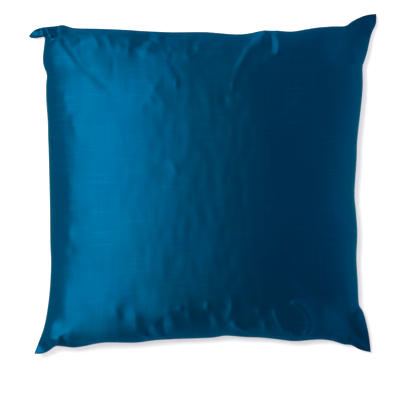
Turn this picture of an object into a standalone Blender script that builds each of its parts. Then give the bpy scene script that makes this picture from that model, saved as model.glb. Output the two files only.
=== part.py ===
# A square scatter cushion of plain silk, lying on its back on a flat surface.
# Two equal panels are sewn edge to edge round a soft filling, so the whole thing is one
# filled solid: a crowned face, sides that draw in between four pulled-out ears, an
# underside that the surface presses flat, and a narrow seam edge where the panels meet.
# The top left ear has flopped over sideways, which pinches a fan of folds below it.
# Frame: +X right and +Y up the face, +Z out of it, origin under the middle on the surface.

import math

import bmesh
import bpy
from mathutils import Vector

MM = 0.001

# Sizes
PANEL_SIDE = 500 * MM  # each panel, from seam to seam
CROWN_TOP = 146 * MM  # highest point of the face above the surface
SEAM_MIDDLE = 58 * MM  # the seam's height, halfway between two ears
BELLY_DEPTH = 80 * MM  # how far the underside would hang below the seam, unpressed
SEAM_EDGE = 2 * MM  # two turned-in layers of silk
LAYER_GAP = 3 * MM  # what keeps the two layers apart where no filling reaches
LAYER_REACH = 18 * MM  # the layers part over this stretch in from the seam

# How the filling spreads
CROWN_ROUNDNESS = 2.3  # 2 is an ellipse, more is a flatter crown
EAR_REACH = 100 * MM  # the filling dies away over this stretch towards an ear's tip
DRAW_SOFTNESS = 3  # how fast the seam's bends fade inwards
FOLD_CLEARANCE = 14 * MM  # folds reach full height this far in from the seam
FOLD_FADE = 0.7  # how much of its height a fold has lost at its far end

# Cells along each side of a panel. The underside has few folds, so it is coarser.
FACE_CELLS = 60
UNDERSIDE_CELLS = 30
CELL_GRADING = 0.3  # 0 spaces the cells evenly, more packs them towards the seam

SILK_COLOUR = (0.004, 0.105, 0.235, 1.0)
SILK_ROUGHNESS = 0.38
SILK_METALLIC = 0.35

# Height of each ear's tip above the surface, in millimetres
EAR_HEIGHT = {
    "top_left": 34,
    "top_right": 26,
    "bottom_left": 22,
    "bottom_right": 28,
}

# The seam's bends, in millimetres from the cushion's middle. Columns: x, y.
# Every side runs between its two ears, left to right or top to bottom.
TOP_SEAM = (
    (-248, 210),  # tip of the flopped ear
    (-244, 215),
    (-237, 220),
    (-227, 223),
    (-200, 226),  # hump where the ear turns over
    (-180, 221),
    (-103, 218),
    (-53, 215),
    (4, 215),
    (43, 212),
    (86, 217),
    (126, 216),
    (163, 222),
    (204, 225),  # root of the ear
    (213, 232),
    (227, 239),
    (248, 242),
)
BOTTOM_SEAM = (
    (-239, -242),
    (-220, -239),
    (-207, -230),  # root of the ear
    (-185, -233),
    (-139, -226),
    (-94, -226),
    (-60, -222),
    (-9, -220),
    (34, -216),
    (83, -219),
    (133, -224),
    (166, -222),
    (203, -230),
    (213, -231),  # root of the ear
    (229, -239),
    (242, -242),
)
LEFT_SEAM = (
    (-248, 210),
    (-244, 207),
    (-234, 207),
    (-225, 208),  # notch under the flopped ear
    (-225, 200),
    (-227, 180),  # the pinched fold bulges past the seam line
    (-226, 168),
    (-221, 154),
    (-222, 119),
    (-219, 69),
    (-217, -10),
    (-215, -115),
    (-217, -153),
    (-226, -207),
    (-239, -242),
)
RIGHT_SEAM = (
    (248, 242),
    (248, 229),
    (243, 217),
    (235, 187),
    (229, 166),  # root of the ear
    (228, 136),
    (220, 62),
    (216, -13),
    (220, -70),
    (219, -104),
    (222, -153),
    (223, -172),  # root of the ear
    (231, -190),
    (238, -215),
    (242, -242),
)

# Soft folds on the face, in millimetres. A negative height is a trough.
# Columns: from x, from y, to x, to y, half width, height.
FACE_FOLDS = (
    (-225, 220, -213, 200, 6, 7),  # pinch below the flopped ear, left lip
    (-214, 222, -213, 203, 6, -9),  # its valley
    (-201, 223, -211, 200, 7, 7),  # right lip
    (-212, 199, -160, 124, 14, 6),  # long diagonal ridge
    (-199, 207, -134, 120, 11, -6),  # long diagonal trough beside it
    (-184, 208, -164, 170, 9, 3),
    (-170, 211, -161, 193, 8, -4),
    (-157, 212, -138, 186, 8, -4),
    (-134, 206, -124, 176, 8, -3),
    (-122, 190, -122, 120, 8, 3),  # upright crease
    (-92, 208, -100, 176, 10, -3),
    (-74, 206, -84, 172, 10, 3),
    (-220, 152, -204, 132, 9, -4),
    (46, 204, 34, 160, 10, -3),
    (86, 210, 74, 176, 8, 5),  # two bright puckers by the top seam
    (100, 208, 108, 172, 9, 5),
    (93, 202, 90, 168, 7, -4),
    (40, 160, 34, 84, 16, 3),  # long soft fold below them
    (208, 218, 218, 208, 8, -5),  # pinch behind the top right ear
    (216, 228, 204, 212, 9, 4),
    (214, 152, 222, 138, 8, -4),
    (-120, -216, -108, -176, 10, -4),
    (-98, -216, -99, -172, 10, 5),
    (-76, -214, -70, -168, 11, -5),
    (-52, -212, -50, -170, 10, 4),
    (-32, -212, -38, -168, 10, -4),
    (12, -208, 18, -166, 11, 4),
    (34, -206, 34, -160, 11, -5),
    (58, -210, 52, -170, 10, 4),
    (88, -212, 82, -170, 11, -5),
    (116, -214, 110, -168, 10, 4),
    (146, -214, 144, -172, 10, -4),
    (214, -226, 202, -206, 9, -5),  # pinch behind the bottom right ear
    (222, -232, 214, -216, 8, 4),
    (-205, -226, -192, -208, 9, -5),  # pinch behind the bottom left ear
)


def clear_scene():
    for thing in list(bpy.data.objects):
        bpy.data.objects.remove(thing, do_unlink=True)


def smooth_step(share):
    share = min(max(share, 0.0), 1.0)
    return share * share * (3 - 2 * share)


class Side:
    """One side's seam, as a smooth curve through its rows."""

    def __init__(self, rows):
        self.points = [Vector(row) * MM for row in rows]
        self.lengths = [0.0]
        for start, end in zip(self.points, self.points[1:]):
            self.lengths.append(self.lengths[-1] + (end - start).length)

    def point(self, share):
        # Catmull-Rom curve, at this share of the side's length
        wanted = share * self.lengths[-1]
        last = len(self.points) - 1
        i = 0
        while i < last - 1 and self.lengths[i + 1] < wanted:
            i += 1
        t = (wanted - self.lengths[i]) / (self.lengths[i + 1] - self.lengths[i])
        before = self.points[max(i - 1, 0)]
        start = self.points[i]
        end = self.points[i + 1]
        after = self.points[min(i + 2, last)]
        return 0.5 * (
            2 * start
            + (end - before) * t
            + (2 * before - 5 * start + 4 * end - after) * t**2
            + (3 * start - before - 3 * end + after) * t**3
        )

    def bend(self, share):
        # How far the seam strays from the straight line between its two ears
        return self.point(share) - self.points[0].lerp(self.points[-1], share)


TOP = Side(TOP_SEAM)
BOTTOM = Side(BOTTOM_SEAM)
LEFT = Side(LEFT_SEAM)
RIGHT = Side(RIGHT_SEAM)


def graded(share):
    # Moves evenly spaced cells towards both ends
    return share - CELL_GRADING * math.sin(2 * math.pi * share) / (2 * math.pi)


def place_on_panel(across, down):
    # Where the silk at these shares of the panel's sides lies, seen from above
    top_line = TOP.points[0].lerp(TOP.points[-1], across)
    bottom_line = BOTTOM.points[0].lerp(BOTTOM.points[-1], across)
    place = top_line.lerp(bottom_line, down)
    for bend, distance in (
        (TOP.bend(across), down),
        (BOTTOM.bend(across), 1 - down),
        (LEFT.bend(down), across),
        (RIGHT.bend(down), 1 - across),
    ):
        place = place + bend * (1 - distance) ** DRAW_SOFTNESS
    return place


def ear_height(across, down):
    top = EAR_HEIGHT["top_left"] * (1 - across) + EAR_HEIGHT["top_right"] * across
    bottom = EAR_HEIGHT["bottom_left"] * (1 - across) + EAR_HEIGHT["bottom_right"] * across
    return (top * (1 - down) + bottom * down) * MM


def seam_height(across, down):
    # The seam hangs low at the ears and is lifted by the filling between them
    ears = ear_height(across, down)
    lift = max(math.sin(math.pi * across), math.sin(math.pi * down), 0.0)
    return ears + (SEAM_MIDDLE - ears) * (1 - (1 - lift) ** 2)


def distance_to_seam(across, down):
    return min(across, 1 - across, down, 1 - down) * PANEL_SIDE


def distance_to_ear(across, down):
    return math.hypot(min(across, 1 - across), min(down, 1 - down)) * PANEL_SIDE


def swell(across, down):
    # 1 in the middle of the panel, 0 along the seam, and nearly 0 over each ear
    filled = smooth_step(distance_to_ear(across, down) / EAR_REACH)
    for share in (across, down):
        filled *= max(0.0, 1 - abs(2 * share - 1) ** CROWN_ROUNDNESS) ** 0.5
    return filled


def fold_lift(place, fold):
    # A ridge or trough with a round section, lower towards its far end
    from_x, from_y, to_x, to_y, half_width, height = fold
    start = Vector((from_x, from_y)) * MM
    run = Vector((to_x, to_y)) * MM - start
    share = min(max((place - start).dot(run) / run.length_squared, 0.0), 1.0)
    off = (place - start - run * share).length / (half_width * MM)
    return height * MM * (1 - FOLD_FADE * share) * math.exp(-off * off)


def face_height(place, across, down):
    to_seam = distance_to_seam(across, down)
    crown = (CROWN_TOP - SEAM_MIDDLE) * swell(across, down)
    layers = LAYER_GAP * smooth_step(to_seam / LAYER_REACH)
    folds = sum(fold_lift(place, fold) for fold in FACE_FOLDS)
    folds *= smooth_step(to_seam / FOLD_CLEARANCE)
    return seam_height(across, down) + crown + layers + folds


def underside_height(place, across, down):
    hang = BELLY_DEPTH * swell(across, down)
    return max(seam_height(across, down) - SEAM_EDGE - hang, 0.0)


def add_panel(bm, cells, height):
    # A square grid of silk laid over the filling. Returns the edges of its rim.
    verts = bmesh.ops.create_grid(bm, x_segments=cells, y_segments=cells, size=0.5)["verts"]
    for vert in verts:
        across = graded(vert.co.x + 0.5)
        down = graded(0.5 - vert.co.y)
        place = place_on_panel(across, down)
        vert.co = (place.x, place.y, height(place, across, down))
    own = set(verts)
    return [edge for edge in bm.edges if edge.is_boundary and edge.verts[0] in own]


def build_cushion():
    bm = bmesh.new()
    face_rim = add_panel(bm, FACE_CELLS, face_height)
    underside_rim = add_panel(bm, UNDERSIDE_CELLS, underside_height)
    # The seam edge closes the gap between the two panels all the way round
    bmesh.ops.bridge_loops(bm, edges=face_rim + underside_rim)
    bmesh.ops.recalc_face_normals(bm, faces=list(bm.faces))
    mesh = bpy.data.meshes.new("cushion")
    bm.to_mesh(mesh)
    bm.free()
    mesh.shade_smooth()
    cushion = bpy.data.objects.new("cushion", mesh)
    bpy.context.scene.collection.objects.link(cushion)
    return cushion


def centre_over_origin(cushion):
    # The origin lies under the middle of the outline, ears included
    xs = [corner[0] for corner in cushion.bound_box]
    ys = [corner[1] for corner in cushion.bound_box]
    cushion.location = (-(min(xs) + max(xs)) / 2, -(min(ys) + max(ys)) / 2, 0)


def silk_material():
    silk = bpy.data.materials.new("silk")
    silk.use_nodes = True
    shader = silk.node_tree.nodes["Principled BSDF"]
    shader.inputs["Base Color"].default_value = SILK_COLOUR
    shader.inputs["Roughness"].default_value = SILK_ROUGHNESS
    shader.inputs["Metallic"].default_value = SILK_METALLIC
    silk.diffuse_color = SILK_COLOUR
    return silk


clear_scene()
cushion = build_cushion()
centre_over_origin(cushion)
cushion.data.materials.append(silk_material())
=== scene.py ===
import math

import bpy
import numpy as np
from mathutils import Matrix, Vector, noise


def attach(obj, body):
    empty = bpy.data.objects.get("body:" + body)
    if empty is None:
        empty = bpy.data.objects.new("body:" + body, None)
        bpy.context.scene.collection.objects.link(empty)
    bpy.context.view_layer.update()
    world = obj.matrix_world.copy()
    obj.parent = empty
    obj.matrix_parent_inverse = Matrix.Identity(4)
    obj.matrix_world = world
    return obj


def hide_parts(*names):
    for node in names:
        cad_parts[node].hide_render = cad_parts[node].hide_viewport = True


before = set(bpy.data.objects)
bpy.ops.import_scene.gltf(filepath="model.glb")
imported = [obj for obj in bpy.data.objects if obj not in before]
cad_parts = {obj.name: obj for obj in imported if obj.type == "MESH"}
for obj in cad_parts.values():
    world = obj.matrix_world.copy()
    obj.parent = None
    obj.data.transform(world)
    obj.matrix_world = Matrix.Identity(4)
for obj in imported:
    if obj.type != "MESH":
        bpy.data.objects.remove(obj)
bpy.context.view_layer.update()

# Plain blue silk cushion on its back, seen from straight above. Metres unless a name says mm.
mm = 0.001
tiny = 1e-9    # a length under this counts as none
bpy.ops.object.select_all(action="DESELECT")

# Outline of the seam, mm from the middle. Every side runs left to right or top to bottom.
seamRows = {
    "top": (
        (-248, 210), (-244, 215), (-237, 220), (-227, 223), (-214, 224), (-200, 226), (-190, 223),
        (-180, 221), (-146, 220), (-103, 218), (-53, 215), (4, 215), (43, 212), (64, 213),
        (86, 217), (104, 217), (126, 216), (145, 219), (163, 222), (184, 224), (204, 225),
        (212, 231), (223, 237), (236, 242), (250, 244),
    ),
    "bottom": (
        (-239, -242), (-229, -242), (-220, -239), (-213, -234), (-207, -230), (-198, -231),
        (-185, -233), (-172, -232), (-139, -226), (-94, -226), (-60, -222), (-9, -220),
        (15, -219), (34, -216), (60, -218), (83, -219), (104, -221), (133, -224), (166, -222),
        (184, -224), (194, -227), (203, -230), (213, -231), (220, -235), (229, -239), (242, -242),
    ),
    "left": (
        (-248, 210), (-244, 207), (-234, 207), (-225, 209), (-225, 200), (-227, 180),
        (-226, 168), (-221, 154), (-222, 142), (-222, 119), (-220, 94), (-219, 69), (-217, -10),
        (-216, -82), (-215, -115), (-217, -153), (-221, -184), (-226, -207), (-232, -223), (-239, -242),
    ),
    "right": (
        (250, 244), (249, 229), (243, 217), (239, 204), (235, 187), (230, 172), (228, 165),
        (228, 138), (225, 106), (220, 62), (219, 36), (216, -13), (218, -40), (220, -70),
        (219, -104), (221, -140), (223, -172), (228, -180), (232, -191), (238, -215), (242, -242),
    ),
}

cushion = {
    "panelSide": 0.500,       # a square of silk, seam to seam
    "crownTop": 0.146,        # top of the face above the floor
    "seamMiddle": 0.058,      # seam halfway between two ears
    "belly": 0.080,           # how far the underside would hang below the seam
    "layerGap": 0.003,        # between the two layers of an ear
    "layerReach": 0.018,      # from the seam to where the layers are that far apart
    "roundness": 2.3,         # of the filling's section, where 2 is an ellipse
    "drawSoftness": 3,        # how soon the cloth inside forgets the seam's bends
    "cells": 110,             # along a panel's side, doubled by the last subdivision
    "mapGap": 0.020,          # between the two panels on the cloth map
    "seamCrease": 0.7,
    # How far the filling thins out before an ear's tip, and how high the tip stands
    "earReach": {"topLeft": 0.060, "topRight": 0.100, "bottomLeft": 0.055, "bottomRight": 0.100},
    "earHeight": {"topLeft": 0.040, "topRight": 0.026, "bottomLeft": 0.054, "bottomRight": 0.028},
}


def smoothStep(share):
    share = np.clip(share, 0.0, 1.0)
    return share * share * (3 - 2 * share)


def seamAt(rows, share):    # smooth curve through the rows, at each share of its length
    points = np.array(rows, float) * mm
    along = np.concatenate([[0.0], np.cumsum(np.linalg.norm(np.diff(points, axis=0), axis=1))])
    wanted = share * along[-1]
    i = np.clip(np.searchsorted(along, wanted, side="right") - 1, 0, len(points) - 2)
    t = ((wanted - along[i]) / (along[i + 1] - along[i]))[:, None]
    row = np.vstack([points[:1], points, points[-1:]])
    before, start, end, after = row[i], row[i + 1], row[i + 2], row[i + 3]
    return 0.5 * (
        2 * start
        + (end - before) * t
        + (2 * before - 5 * start + 4 * end - after) * t**2
        + (3 * start - before - 3 * end + after) * t**3
    )


def placeOnPanel(across, down):    # where the cloth lies seen from above, Nx2
    corner = {side: (np.array(rows[0]) * mm, np.array(rows[-1]) * mm) for side, rows in seamRows.items()}
    a, d = across[:, None], down[:, None]
    top = corner["top"][0] * (1 - a) + corner["top"][1] * a
    bottom = corner["bottom"][0] * (1 - a) + corner["bottom"][1] * a
    place = top * (1 - d) + bottom * d
    for side, share, distance in (
        ("top", across, down),
        ("bottom", across, 1 - down),
        ("left", down, across),
        ("right", down, 1 - across),
    ):
        first, last = corner[side]
        straight = first * (1 - share[:, None]) + last * share[:, None]
        bend = seamAt(seamRows[side], share) - straight
        place = place + bend * ((1 - distance) ** cushion["drawSoftness"])[:, None]
    return place


def toSeam(across, down):    # along the cloth, as toEar is
    return np.minimum(np.minimum(across, 1 - across), np.minimum(down, 1 - down)) * cushion["panelSide"]


def toEar(across, down):
    return np.hypot(np.minimum(across, 1 - across), np.minimum(down, 1 - down)) * cushion["panelSide"]


def mixEars(ears, across, down):    # the four ears' values, blended over the panel
    top = ears["topLeft"] * (1 - across) + ears["topRight"] * across
    bottom = ears["bottomLeft"] * (1 - across) + ears["bottomRight"] * across
    return top * (1 - down) + bottom * down


def seamHeight(across, down):
    low = mixEars(cushion["earHeight"], across, down)
    lift = np.clip(np.maximum(np.sin(np.pi * across), np.sin(np.pi * down)), 0, 1)
    return low + (cushion["seamMiddle"] - low) * (1 - (1 - lift) ** 2)


def swell(across, down):
    filled = smoothStep(toEar(across, down) / mixEars(cushion["earReach"], across, down))
    for share in (across, down):
        filled = filled * np.clip(1 - np.abs(2 * share - 1) ** cushion["roundness"], 0, 1) ** 0.5
    return filled


def faceHeight(across, down):
    crown = (cushion["crownTop"] - cushion["seamMiddle"]) * swell(across, down)
    layers = cushion["layerGap"] * smoothStep(toSeam(across, down) / cushion["layerReach"])
    return seamHeight(across, down) + crown + layers


def undersideHeight(across, down):
    return np.clip(seamHeight(across, down) - cushion["belly"] * swell(across, down), 0, None)


def layPanels():    # two grids of quads that share the ring of vertices along the seam
    n = cushion["cells"]
    steps = np.arange(n + 1) / n
    down, across = (grid.ravel() for grid in np.meshgrid(steps, steps, indexing="ij"))
    onRim = toSeam(across, down) < tiny
    place = placeOnPanel(across, down)
    face = np.column_stack([place, faceHeight(across, down)])
    inner = np.flatnonzero(~onRim)
    under = np.column_stack([place, undersideHeight(across, down)])[inner]
    underIndex = np.arange(len(face))
    underIndex[inner] = len(face) + np.arange(len(inner))
    row, column = (grid.ravel() for grid in np.meshgrid(np.arange(n), np.arange(n), indexing="ij"))
    a = row * (n + 1) + column
    quads = np.column_stack([a, a + n + 1, a + n + 2, a + 1])    # counter-clockwise from above
    underQuads = underIndex[quads[:, ::-1]]
    mesh = bpy.data.meshes.new("silkCushion")
    mesh.from_pydata(np.vstack([face, under]).tolist(), [], np.vstack([quads, underQuads]).tolist())
    piece = bpy.data.objects.new("silkCushion", mesh)
    bpy.context.scene.collection.objects.link(piece)
    # Cloth coordinates in metres, the underside's square beside the face's
    cloth = np.column_stack([across, 1 - down]) * cushion["panelSide"]
    layer = mesh.uv_layers.new(name="clothMap")
    beside = np.array([cushion["panelSide"] + cushion["mapGap"], 0.0])
    corners = np.vstack([cloth[quads.ravel()], cloth[quads[:, ::-1].ravel()] + beside])
    layer.data.foreach_set("uv", corners.ravel())
    where = np.vstack([np.column_stack([across, down]), np.column_stack([across, down])[inner]])
    side = np.concatenate([np.ones(len(face)), -np.ones(len(inner))])
    side[np.flatnonzero(onRim)] = 0
    for name, values in (("across", where[:, 0]), ("down", where[:, 1]), ("side", side)):
        mesh.attributes.new(name, "FLOAT", "POINT").data.foreach_set("value", values)
    mesh.validate()
    return piece


def readPoints(mesh):
    points = np.empty(len(mesh.vertices) * 3)
    mesh.vertices.foreach_get("co", points)
    return points.reshape(-1, 3)


def readValue(mesh, name):
    values = np.empty(len(mesh.vertices))
    mesh.attributes[name].data.foreach_get("value", values)
    return values


def writePoints(mesh, points):
    mesh.vertices.foreach_set("co", points.ravel())
    mesh.update()


def readNormals(mesh):
    normals = np.empty(len(mesh.vertices) * 3)
    mesh.vertex_normals.foreach_get("vector", normals)
    return normals.reshape(-1, 3)


inflate = {
    "pressure": 8.0,
    "frames": 20,
    "quality": 6,
    "airDamping": 2,
    "mass": 0.02,
    "tension": 120.0,
    "compression": 60.0,
    "shear": 10.0,
    "bending": 0.1,
    "slack": 0.025,                # spare length by the seam as a share, which gathers the cloth
    "slackSide": {"top": 0.6, "bottom": 0.4, "left": 0.1, "right": 0.1},
    "slackNear": 0.008,            # full slack up to here from the seam
    "slackReach": 0.050,           # and then fading out over this
    "cap": 0.014,                  # no point moves further
    "earClear": (0.090, 0.230),    # fades in over this stretch from an ear
}


def inflateSilk(piece):    # cloth simulation against the flat cut of the two panels
    mesh = piece.data
    start = readPoints(mesh)
    across, down, side = (readValue(mesh, name) for name in ("across", "down", "side"))
    loose = np.zeros(len(start))
    for name, distance in (("top", down), ("bottom", 1 - down), ("left", across), ("right", 1 - across)):
        away = (distance * cushion["panelSide"] - inflate["slackNear"]) / inflate["slackReach"]
        loose = np.maximum(loose, inflate["slackSide"][name] * (1 - smoothStep(away)))
    taut = piece.vertex_groups.new(name="taut")    # the rest has spare length
    for index in range(len(start)):
        taut.add([index], 1 - float(loose[index]), "REPLACE")
    held = piece.vertex_groups.new(name="held")
    still = np.flatnonzero((side == 0) | (start[:, 2] <= 0))
    held.add(still.tolist(), 1.0, "REPLACE")
    cloth = piece.modifiers.new("Cloth", "CLOTH")
    settings = cloth.settings
    settings.quality = inflate["quality"]
    settings.mass = inflate["mass"]
    settings.tension_stiffness = inflate["tension"]
    settings.compression_stiffness = inflate["compression"]
    settings.shear_stiffness = inflate["shear"]
    settings.bending_stiffness = inflate["bending"]
    settings.air_damping = inflate["airDamping"]
    settings.use_pressure = True
    settings.uniform_pressure_force = inflate["pressure"]
    settings.vertex_group_mass = "held"
    settings.vertex_group_shrink = "taut"
    settings.shrink_min = -inflate["slack"]
    settings.shrink_max = 0
    settings.effector_weights.gravity = 0
    cloth.collision_settings.use_collision = False
    cloth.collision_settings.use_self_collision = False
    cloth.point_cache.frame_start = 1
    cloth.point_cache.frame_end = inflate["frames"]
    for step in range(1, inflate["frames"] + 1):
        bpy.context.scene.frame_set(step)
    evaluated = piece.evaluated_get(bpy.context.evaluated_depsgraph_get())
    moved = readPoints(evaluated.data) - start
    piece.modifiers.remove(cloth)
    piece.vertex_groups.clear()
    bpy.context.scene.frame_set(1)
    length = np.linalg.norm(moved, axis=1)
    furthest, mean = (round(float(value) / mm, 1) for value in (length.max(), length.mean()))
    print("silk moved", furthest, "mm at most, mean", mean)
    moved *= np.minimum(1, inflate["cap"] / np.maximum(length, tiny))[:, None]
    near, far = inflate["earClear"]
    moved *= smoothStep((toEar(across, down) - near) / (far - near))[:, None]
    points = start + moved
    points[:, 2] = np.clip(points[:, 2], 0, None)
    writePoints(mesh, points)


def refine(piece):    # crisp seam, then one smooth subdivision
    mesh = piece.data
    side = readValue(mesh, "side")
    crease = mesh.attributes.new("crease_edge", "FLOAT", "EDGE")
    ends = np.empty(len(mesh.edges) * 2, dtype=np.int32)
    mesh.edges.foreach_get("vertices", ends)
    ends = ends.reshape(-1, 2)
    rim = (side[ends[:, 0]] == 0) & (side[ends[:, 1]] == 0)
    crease.data.foreach_set("value", rim * cushion["seamCrease"])
    fine = piece.modifiers.new("Fine", "SUBSURF")
    fine.levels = fine.render_levels = 1
    bpy.context.view_layer.objects.active = piece
    bpy.ops.object.modifier_apply(modifier="Fine")


# Creases on the face, mm: from x, from y, to x, to y, sideways bow, half width, height (a trough is
# negative), share of the length that fades in, share that fades out
foldRows = (
    # Top left ear, which has flopped over: edge of the front panel, hollow and lip
    (-223, 223, -211, 202, -1, 5, 12, 0.02, 0.35),
    (-196, 228, -207, 204, 0, 10, -8, 0.01, 0.35),
    (-180, 224, -95, 215, 0, 32, -3, 0.4, 0.5),
    (-163, 212, -143, 176, 0, 24, 3.2, 0.3, 0.5),
    (-182, 184, -130, 130, 0, 24, 5, 0.4, 0.5),
    # Long ridge and trough that run out of it, then the small gathers beside them
    (-211, 204, -168, 148, 3.4, 9, 4.5, 0.1, 0.6),
    (-177, 164, -130, 118, -1, 9, 2.2, 0.3, 0.7),
    (-201, 213, -127, 126, -6.5, 9, -4.8, 0.15, 0.6),
    (-95, 215, -85, 130, 0, 28, -4, 0.2, 0.5),
    (-174, 212, -166, 192, 0, 3.5, 1.5, 0.1, 0.5),
    (-160, 213, -141, 185, 1.5, 3.5, 1.8, 0.1, 0.5),
    (-136, 210, -124, 178, 1.3, 3.5, 1.2, 0.1, 0.5),
    (-125, 189, -122, 129, 0, 2.5, -0.5, 0.4, 0.5),
    (-113, 202, -116, 180, 0, 4, 1.2, 0.5, 0.5),
    (-101, 206, -104, 172, 0, 4, 1.2, 0.2, 0.5),
    # Top seam
    (-70, 210, -94, 191, 2, 4.5, -3.5, 0.05, 0.4),
    (-71, 201, -88, 177, 2, 6, 3, 0.1, 0.5),
    (-62, 211, -60, 199, 0, 3, 1.5, 0.1, 0.5),
    (-44, 196, -47, 168, 0, 4, 1, 0.4, 0.5),
    (-24, 190, -17, 163, 0, 4.5, 1.2, 0.4, 0.5),
    (-6, 199, -8, 183, 0, 4, 1.2, 0.5, 0.5),
    (-35, 148, -37, 126, 0, 2.5, 0.8, 0.5, 0.5),
    (31, 201, 24, 187, 0, 5, 1.6, 0.5, 0.5),
    (91, 214, 75, 188, 1, 4, 3, 0.01, 0.5),
    (91, 213, 41, 132, -8, 4.5, 2.4, 0.02, 0.6),
    (42, 147, 42, 121, 0, 2.5, 1, 0.5, 0.5),
    (44, 125, 35, 94, 0, 5, 0.4, 0.5, 0.5),
    (31, 123, 30, 105, 0, 4, -0.8, 0.5, 0.5),
    (94, 210, 95, 178, 3, 4, -3.5, 0.02, 0.4),
    (101, 211, 103, 173, 4, 4.5, 4.5, 0.02, 0.3),
    (125, 200, 117, 157, 2, 4.5, 1.1, 0.3, 0.5),
    (92, 178, 91, 164, 0, 4, 1, 0.5, 0.5),
    # Top right ear
    (204, 224, 222, 233, 1, 3, 4.5, 0.3, 0.3),
    (240, 235, 233, 214, 1, 6, 2, 0.2, 0.4),
    (212, 194, 217, 165, 1, 4.5, 1.8, 0.3, 0.3),
    # Left edge
    (-212, 84, -201, 48, 0, 3, 1.6, 0.2, 0.4),
    (-211, 37, -205, 25, 0, 3, 1.3, 0.3, 0.4),
    (-192, 131, -191, 109, 0, 4, 0.9, 0.5, 0.5),
    (-194, 111, -180, 96, 0, 4.5, 0.9, 0.5, 0.5),
    (-181, 102, -165, 50, -3, 7, 1.8, 0.3, 0.5),
    (-182, 20, -182, -42, 0, 12, 1.5, 0.4, 0.4),
    (-185, -26, -184, -46, 0, 7, 0.8, 0.5, 0.5),
    (-184, -52, -184, -85, 0, 7, 1.4, 0.4, 0.4),
    (-184, -82, -181, -104, 0, 8, -1.6, 0.5, 0.5),
    (-188, -132, -190, -196, 0, 10, 2.2, 0.4, 0.4),
    # Bottom left ear: a full ridge that runs out to its tip, and a pinch
    (-163, -172, -220, -239, 4, 15, 6, 0.5, 0.15),
    (-194, -192, -218, -232, 1, 14, 4, 0.4, 0.4),
    (-208, -192, -226, -231, 1, 9, 5, 0.4, 0.3),
    (-135, -115, -143, -227, 0, 30, 6.5, 0.6, 0.03),
    (-48, -140, -50, -224, 0, 34, 6, 0.6, 0.03),
    (-198, -213, -190, -225, 0, 3.5, -3, 0.2, 0.1),
    (-160, -205, -80, -204, 0, 20, 4, 0.4, 0.5),
    # Bottom seam: short uneven puckers, from left to right
    (-127, -160, -112, -190, 1, 5, 1.2, 0.5, 0.5),
    (-116, -164, -102, -196, 1, 4.5, -0.8, 0.5, 0.5),
    (-99, -164, -88, -212, 2, 8, 3.6, 0.5, 0.3),
    (-83, -208, -74, -217, 0, 2.5, 1.5, 0.2, 0.1),
    (-75, -192, -76, -211, 0, 3.5, -3.2, 0.5, 0.2),
    (-69, -186, -62, -214, 1, 3.5, 2.2, 0.5, 0.2),
    (-54, -181, -53, -212, 0, 3.5, -3, 0.3, 0.1),
    (-52, -168, -36, -209, 3, 4.5, 1.5, 0.5, 0.4),
    (-29, -163, -31, -179, 0, 4, 1.2, 0.5, 0.5),
    (-24, -158, -8, -204, -2, 5, 1.3, 0.5, 0.4),
    (-7, -204, -1, -215, 0, 3, 1.8, 0.3, 0.1),
    (7, -161, 7, -179, 0, 3, 1.6, 0.5, 0.5),
    (4, -172, 14, -208, 1, 5, -1.5, 0.5, 0.4),
    (13, -176, 26, -209, 1, 4, 1.5, 0.5, 0.4),
    (37, -147, 28, -198, 8, 4, 2, 0.5, 0.4),
    (38, -190, 66, -209, -1, 3.5, 3.2, 0.3, 0.3),
    (78, -166, 79, -188, 0, 3, 1.6, 0.5, 0.5),
    (75, -184, 79, -204, 0, 4, -1.3, 0.5, 0.5),
    (86, -187, 91, -211, 0, 4, 2.6, 0.5, 0.3),
    (98, -170, 118, -212, -1, 4, 2.7, 0.3, 0.2),
    (121, -204, 136, -219, 0, 3, 2, 0.3, 0.1),
    (122, -163, 149, -213, 12, 4.5, 3.4, 0.1, 0.1),
    (145, -202, 146, -219, 0, 4, 3.4, 0.5, 0.1),
    (182, -209, 184, -222, 0, 3.5, 1.4, 0.3, 0.1),
    # Bottom right ear
    (208, -222, 238, -238, 1, 3, 3, 0.1, 0.3),
    (210, -172, 220, -182, 0, 3.5, -2.5, 0.3, 0.1),
    # Faint creases across the crown
    (-45, 34, -32, 8, 0, 4, 0.7, 0.4, 0.4),
    (-97, 171, -44, 90, 3, 5, 0.6, 0.4, 0.4),
    (-45, 168, -97, 85, 2, 5, 0.6, 0.4, 0.4),
    (-76, 122, -64, 104, 0, 4, 0.8, 0.5, 0.5),
)

# How the creases and the seam's waves are pressed into the cloth
press = {
    "crest": 0.6,             # how round a crease's crest is, in half widths
    "seamClear": 0.004,       # creases fade in over this from the seam
    "upright": 0.030,         # and are pressed straight up by it over this
    "earSheet": 0.050,        # from an ear's tip, where both layers move as one, and again to fade
    "offFloor": 0.004,        # a seam lower than this doesn't wave
}

# Where the seam rises or dips on its way, mm: x, y, reach, height
seamWaves = (
    (-238, 214, 9, 6), (-226, 215, 6, -4), (-207, 226, 6, -5), (-192, 223, 8, 3),
    (-90, 217, 10, -2.5), (-62, 215, 10, 2), (60, 213, 12, -2), (87, 217, 7, 3), (97, 217, 5, -3),
    (107, 217, 8, 3), (140, 218, 14, -1.5), (212, 231, 7, -4), (213, -231, 7, -4),
    (-206, -230, 17, 10), (-232, -225, 9, -4), (-192, -230, 5, -3), (-120, -226, 14, 2),
    (-80, -224, 9, -2), (-52, -221, 9, 2), (10, -219, 14, -2), (45, -217, 12, 2.5),
    (85, -219, 10, -2), (125, -223, 12, 2.5), (150, -222, 8, -2), (-221, 120, 12, -2),
    (-219, 66, 10, 2), (-217, -40, 20, -2), (219, 20, 20, 2), (220, -110, 16, -2),
)

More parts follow.
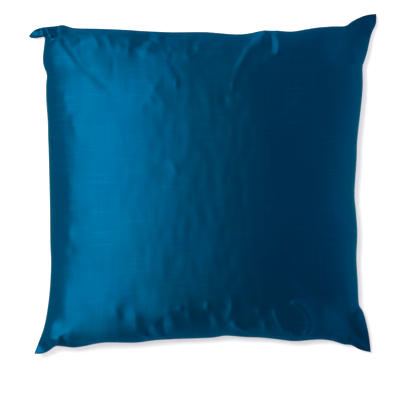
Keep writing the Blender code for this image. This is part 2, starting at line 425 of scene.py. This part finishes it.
ripple = {
    "height": 0.00030,
    "across": 0.012,
    "along": 0.024,
    "seamClear": 0.020,       # fade in over this from the seam
    "broad": 2.3,             # a second, broader set of ripples, times the first one's size
    "broadHeight": 1.4,
    "broadShift": 7.5,
    "smoothFrom": 0.060,      # towards the right the cloth lies smoother
    "smoothTo": 0.130,
    "smooth": 0.35,
}


def foldLift(points, toRim):    # how far the creases lift each point of the face
    lift = np.zeros(len(points))
    for fromX, fromY, toX, toY, bow, halfWidth, height, fadeIn, fadeOut in foldRows:
        first = np.array([fromX, fromY]) * mm
        run = np.array([toX, toY]) * mm - first
        length = np.hypot(*run)
        ahead = run / length
        offset = points[:, :2] - first
        share = offset @ ahead / length
        inside = np.clip(share, 0, 1)
        off = offset @ np.array([-ahead[1], ahead[0]]) - bow * mm * 4 * inside * (1 - inside)
        off = np.hypot(off, (share - inside) * length) / (halfWidth * mm)
        shape = np.exp(press["crest"] - np.sqrt(off * off + press["crest"] ** 2))
        taper = smoothStep(inside / fadeIn) * smoothStep((1 - inside) / fadeOut)
        lift += height * mm * shape * taper
    return lift * smoothStep(toRim / press["seamClear"])


def seamWave(points):
    wave = np.zeros(len(points))
    for x, y, reach, height in seamWaves:
        away = np.hypot(points[:, 0] - x * mm, points[:, 1] - y * mm) / (reach * mm)
        wave += height * mm * np.exp(-away * away)
    return wave


def ripples(points):
    places = points * [1, 1, 0] / np.array([ripple["across"], ripple["along"], 1.0])
    wave = np.array([noise.noise(Vector(place)) for place in places])
    places = places / ripple["broad"] + ripple["broadShift"]
    broad = np.array([noise.noise(Vector(place)) for place in places])
    right = (points[:, 0] - ripple["smoothFrom"]) / (ripple["smoothTo"] - ripple["smoothFrom"])
    share = 1 - (1 - ripple["smooth"]) * smoothStep(right)
    return ripple["height"] * (wave + ripple["broadHeight"] * broad) * share


def pressFolds(piece):
    mesh = piece.data
    points = readPoints(mesh)
    across, down, side = (readValue(mesh, name) for name in ("across", "down", "side"))
    toRim = toSeam(across, down)
    lift = foldLift(points, toRim) + ripples(points) * smoothStep(toRim / ripple["seamClear"])
    wave = seamWave(points) * (points[:, 2] > press["offFloor"])
    pastEar = smoothStep(toEar(across, down) / press["earSheet"] - 1)
    # Straight up by the seam and in the ears, so the outline stays
    along = (smoothStep(toRim / press["upright"]) * pastEar)[:, None]
    way = readNormals(mesh) * along + np.array([0.0, 0.0, 1.0]) * (1 - along)
    points = points + way * (lift * (side > 0))[:, None]
    below = lift * (side < 0) * (1 - pastEar)
    points[:, 2] = np.clip(points[:, 2] + wave + below, 0, None)
    writePoints(mesh, points)


silk = {
    "colour": (0.0, 0.0605, 0.147),    # what the threads reflect face on
    "edgeTint": (0.0, 0.52, 0.54),
    "roughness": 0.58,
    "glossStretch": 0.64,     # the gloss runs wider along the warp than across it
    "glossTurn": 0.25,        # of a whole turn, from the weft
    "bump": 0.00012,
    # Length and pitch of the threads, then their share of tone, roughness and relief
    "weft": {"length": 0.030, "pitch": 0.0009, "tone": 0.07, "rough": 0.04, "relief": 0.6},
    "slub": {"length": 0.060, "pitch": 0.0028, "tone": 0.12, "relief": 0.7},
    "warp": {"length": 0.090, "pitch": 0.0016, "tone": 0.05, "relief": 0.4},
    "patch": {"size": 0.110, "tone": 0.05, "rough": 0.02, "hue": 0.003},    # broad, faint drifts
    "noiseSpan": (0.3, 0.7),     # nearly all of a noise lies between these
    "slubSpan": (0.60, 0.78),    # only its peaks thicken into slubs
}


def silkMaterial():
    material = bpy.data.materials.new("silk")
    material.use_nodes = True
    nodes, links = material.node_tree.nodes, material.node_tree.links
    shader = nodes["Principled BSDF"]
    shader.inputs["Metallic"].default_value = 1.0
    shader.inputs["Anisotropic"].default_value = silk["glossStretch"]
    shader.inputs["Anisotropic Rotation"].default_value = silk["glossTurn"]
    shader.inputs["Specular Tint"].default_value = (*silk["edgeTint"], 1)

    tangent = nodes.new("ShaderNodeTangent")
    tangent.direction_type = "UV_MAP"
    tangent.uv_map = "clothMap"
    links.new(tangent.outputs[0], shader.inputs["Tangent"])
    cloth = nodes.new("ShaderNodeUVMap")
    cloth.uv_map = "clothMap"

    def threads(long, thick, detail):    # noise drawn out along U by long and along V by thick
        place = nodes.new("ShaderNodeMapping")
        place.inputs["Scale"].default_value = (1 / long, 1 / thick, 1)
        links.new(cloth.outputs[0], place.inputs["Vector"])
        texture = nodes.new("ShaderNodeTexNoise")
        texture.inputs["Scale"].default_value = 1
        texture.inputs["Detail"].default_value = detail
        links.new(place.outputs[0], texture.inputs["Vector"])
        return texture.outputs["Fac"]

    def remap(value, span, low, high):
        spread = nodes.new("ShaderNodeMapRange")
        for socket, number in zip(("From Min", "From Max", "To Min", "To Max"), (*span, low, high)):
            spread.inputs[socket].default_value = number
        links.new(value, spread.inputs["Value"])
        return spread.outputs["Result"]

    def vary(value, middle, swing):
        return remap(value, silk["noiseSpan"], middle - swing, middle + swing)

    def combine(operation, first, second):
        maths = nodes.new("ShaderNodeMath")
        maths.operation = operation
        for socket, value in zip(maths.inputs, (first, second)):
            if isinstance(value, float):
                socket.default_value = value
            else:
                links.new(value, socket)
        return maths.outputs[0]

    weft, slub, warp, patch = (silk[name] for name in ("weft", "slub", "warp", "patch"))
    weftNoise = threads(weft["length"], weft["pitch"], 1)
    slubNoise = remap(threads(slub["length"], slub["pitch"], 0), silk["slubSpan"], 0, 1)
    warpNoise = threads(warp["pitch"], warp["length"], 1)
    drift = threads(patch["size"], patch["size"], 2)

    # Colour: brightness from the threads, a drift between teal and blue
    tone = combine("ADD", vary(weftNoise, 0, weft["tone"]), vary(warpNoise, 0, warp["tone"]))
    tone = combine("ADD", tone, combine("MULTIPLY", slubNoise, slub["tone"]))
    tone = combine("ADD", tone, vary(drift, 1, patch["tone"]))
    hue = nodes.new("ShaderNodeHueSaturation")
    hue.inputs["Color"].default_value = (*silk["colour"], 1)
    links.new(tone, hue.inputs["Value"])
    links.new(vary(drift, 0.5, patch["hue"]), hue.inputs["Hue"])
    links.new(hue.outputs[0], shader.inputs["Base Color"])

    rough = combine("ADD", vary(weftNoise, 0, weft["rough"]), vary(drift, 0, patch["rough"]))
    links.new(combine("ADD", rough, silk["roughness"]), shader.inputs["Roughness"])

    relief = combine("MULTIPLY", weftNoise, weft["relief"])
    relief = combine("ADD", relief, combine("MULTIPLY", slubNoise, slub["relief"]))
    relief = combine("ADD", relief, combine("MULTIPLY", warpNoise, warp["relief"]))
    bump = nodes.new("ShaderNodeBump")
    bump.inputs["Distance"].default_value = silk["bump"]
    links.new(relief, bump.inputs["Height"])
    links.new(bump.outputs[0], shader.inputs["Normal"])
    return material


studio = {
    "world": 0.565,           # strength of the even, pale room
    "worldColour": (0.90, 0.87, 1.0),
    "worldNear": 0.20,        # the room's share of light from below the photo's bottom edge
    "nearSpan": (-0.9, 0.1),
    "worldRight": 1.9,        # times as bright low on the right
    "rightSpan": (0.4, 1.0),
    "tilt": 0.715,            # radians the softbox stands over to the left
    "distance": 1.6,
    "forward": 0.295,         # towards the photo's top edge
    "size": (1.68, 2.82),
    "radiance": 4.8,
    "softboxColour": (1.0, 1.0, 0.88),
    "overhead": (-0.26, 0.20, 2.0),    # draws the floor's shadow
    "overheadSize": 0.35,
    "overheadRadiance": 80.0,
    "overheadColour": (1.0, 1.0, 1.0),
    "floor": (0.80, 0.80, 0.76),
    "floorSize": 6,
    "floorGlow": 0.50,
}


def addFloor():
    bpy.ops.mesh.primitive_plane_add(size=studio["floorSize"], location=(0, 0, 0))
    floor = bpy.context.object
    floor.name = "floor"
    white = bpy.data.materials.new("floor")
    white.use_nodes = True
    shader = white.node_tree.nodes["Principled BSDF"]
    shader.inputs["Base Color"].default_value = (*studio["floor"], 1)
    shader.inputs["Roughness"].default_value = 1.0
    shader.inputs["Specular IOR Level"].default_value = 0.0
    shader.inputs["Emission Color"].default_value = (1, 1, 1, 1)
    shader.inputs["Emission Strength"].default_value = studio["floorGlow"]
    floor.data.materials.append(white)
    return floor


def addSoftbox(name, place, size, radiance, colour, lit):    # a rectangle that lights one object only
    light = bpy.data.lights.new(name, "AREA")
    light.shape = "RECTANGLE"
    light.size, light.size_y = size
    light.energy = radiance * math.pi * size[0] * size[1]
    light.color = colour
    softbox = bpy.data.objects.new(name, light)
    bpy.context.scene.collection.objects.link(softbox)
    softbox.location = place
    softbox.rotation_euler = (0, -math.atan2(-place[0], place[2]), 0)
    softbox.visible_camera = False
    only = bpy.data.collections.new(name)
    only.objects.link(lit)
    softbox.light_linking.receiver_collection = only


def addLights(piece, floor):
    world = bpy.data.worlds.new("studio")
    bpy.context.scene.world = world
    world.use_nodes = True
    nodes, links = world.node_tree.nodes, world.node_tree.links
    back = nodes["Background"]
    back.inputs["Color"].default_value = (*studio["worldColour"], 1)
    direction = nodes.new("ShaderNodeTexCoord")
    parts = nodes.new("ShaderNodeSeparateXYZ")
    links.new(direction.outputs["Generated"], parts.inputs[0])
    product = nodes.new("ShaderNodeMath")
    product.operation = "MULTIPLY"
    for axis, span, low, high, socket in (
        ("Y", studio["nearSpan"], studio["world"] * studio["worldNear"], studio["world"], 0),
        ("X", studio["rightSpan"], 1, studio["worldRight"], 1),
    ):
        slope = nodes.new("ShaderNodeMapRange")
        slope.inputs["From Min"].default_value, slope.inputs["From Max"].default_value = span
        slope.inputs["To Min"].default_value = low
        slope.inputs["To Max"].default_value = high
        links.new(parts.outputs[axis], slope.inputs["Value"])
        links.new(slope.outputs[0], product.inputs[socket])
    links.new(product.outputs[0], back.inputs["Strength"])
    tilt, distance = studio["tilt"], studio["distance"]
    place = (-distance * math.sin(tilt), studio["forward"], distance * math.cos(tilt))
    addSoftbox("softbox", place, studio["size"], studio["radiance"], studio["softboxColour"], piece)
    size = (studio["overheadSize"], studio["overheadSize"])
    radiance, colour = studio["overheadRadiance"], studio["overheadColour"]
    addSoftbox("overhead", studio["overhead"], size, radiance, colour, floor)


shot = {
    "pixel": 1.43 * mm,        # one pixel of the photo, at the height below
    "pixelAt": 0.036,
    "middle": (202.35, 183.6),    # pixel of the photo over the cushion's middle
    "frame": 400,              # pixels
    "height": 2.6,
    "sensor": 36.0,            # mm, like the lens
    "clip": 20,
}


def addCamera():
    camera = bpy.data.cameras.new("camera")
    eye = bpy.data.objects.new("camera", camera)
    bpy.context.scene.collection.objects.link(eye)
    half = shot["frame"] / 2
    eye.location = (
        (half - shot["middle"][0]) * shot["pixel"],
        (shot["middle"][1] - half) * shot["pixel"],
        shot["height"],
    )
    width = shot["frame"] * shot["pixel"]
    camera.sensor_width = shot["sensor"]
    camera.lens = shot["sensor"] * (shot["height"] - shot["pixelAt"]) / width
    camera.clip_end = shot["clip"]
    bpy.context.scene.camera = eye


addCamera()
piece = layPanels()
print("panels laid", len(piece.data.vertices), "points")
inflateSilk(piece)
refine(piece)
pressFolds(piece)
piece.data.shade_smooth()
piece.data.materials.append(silkMaterial())
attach(piece, "root")
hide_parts("cushion")
print("cushion made", len(piece.data.polygons), "faces")

floor = addFloor()
addLights(piece, floor)
bpy.context.scene.view_settings.view_transform = "Standard"
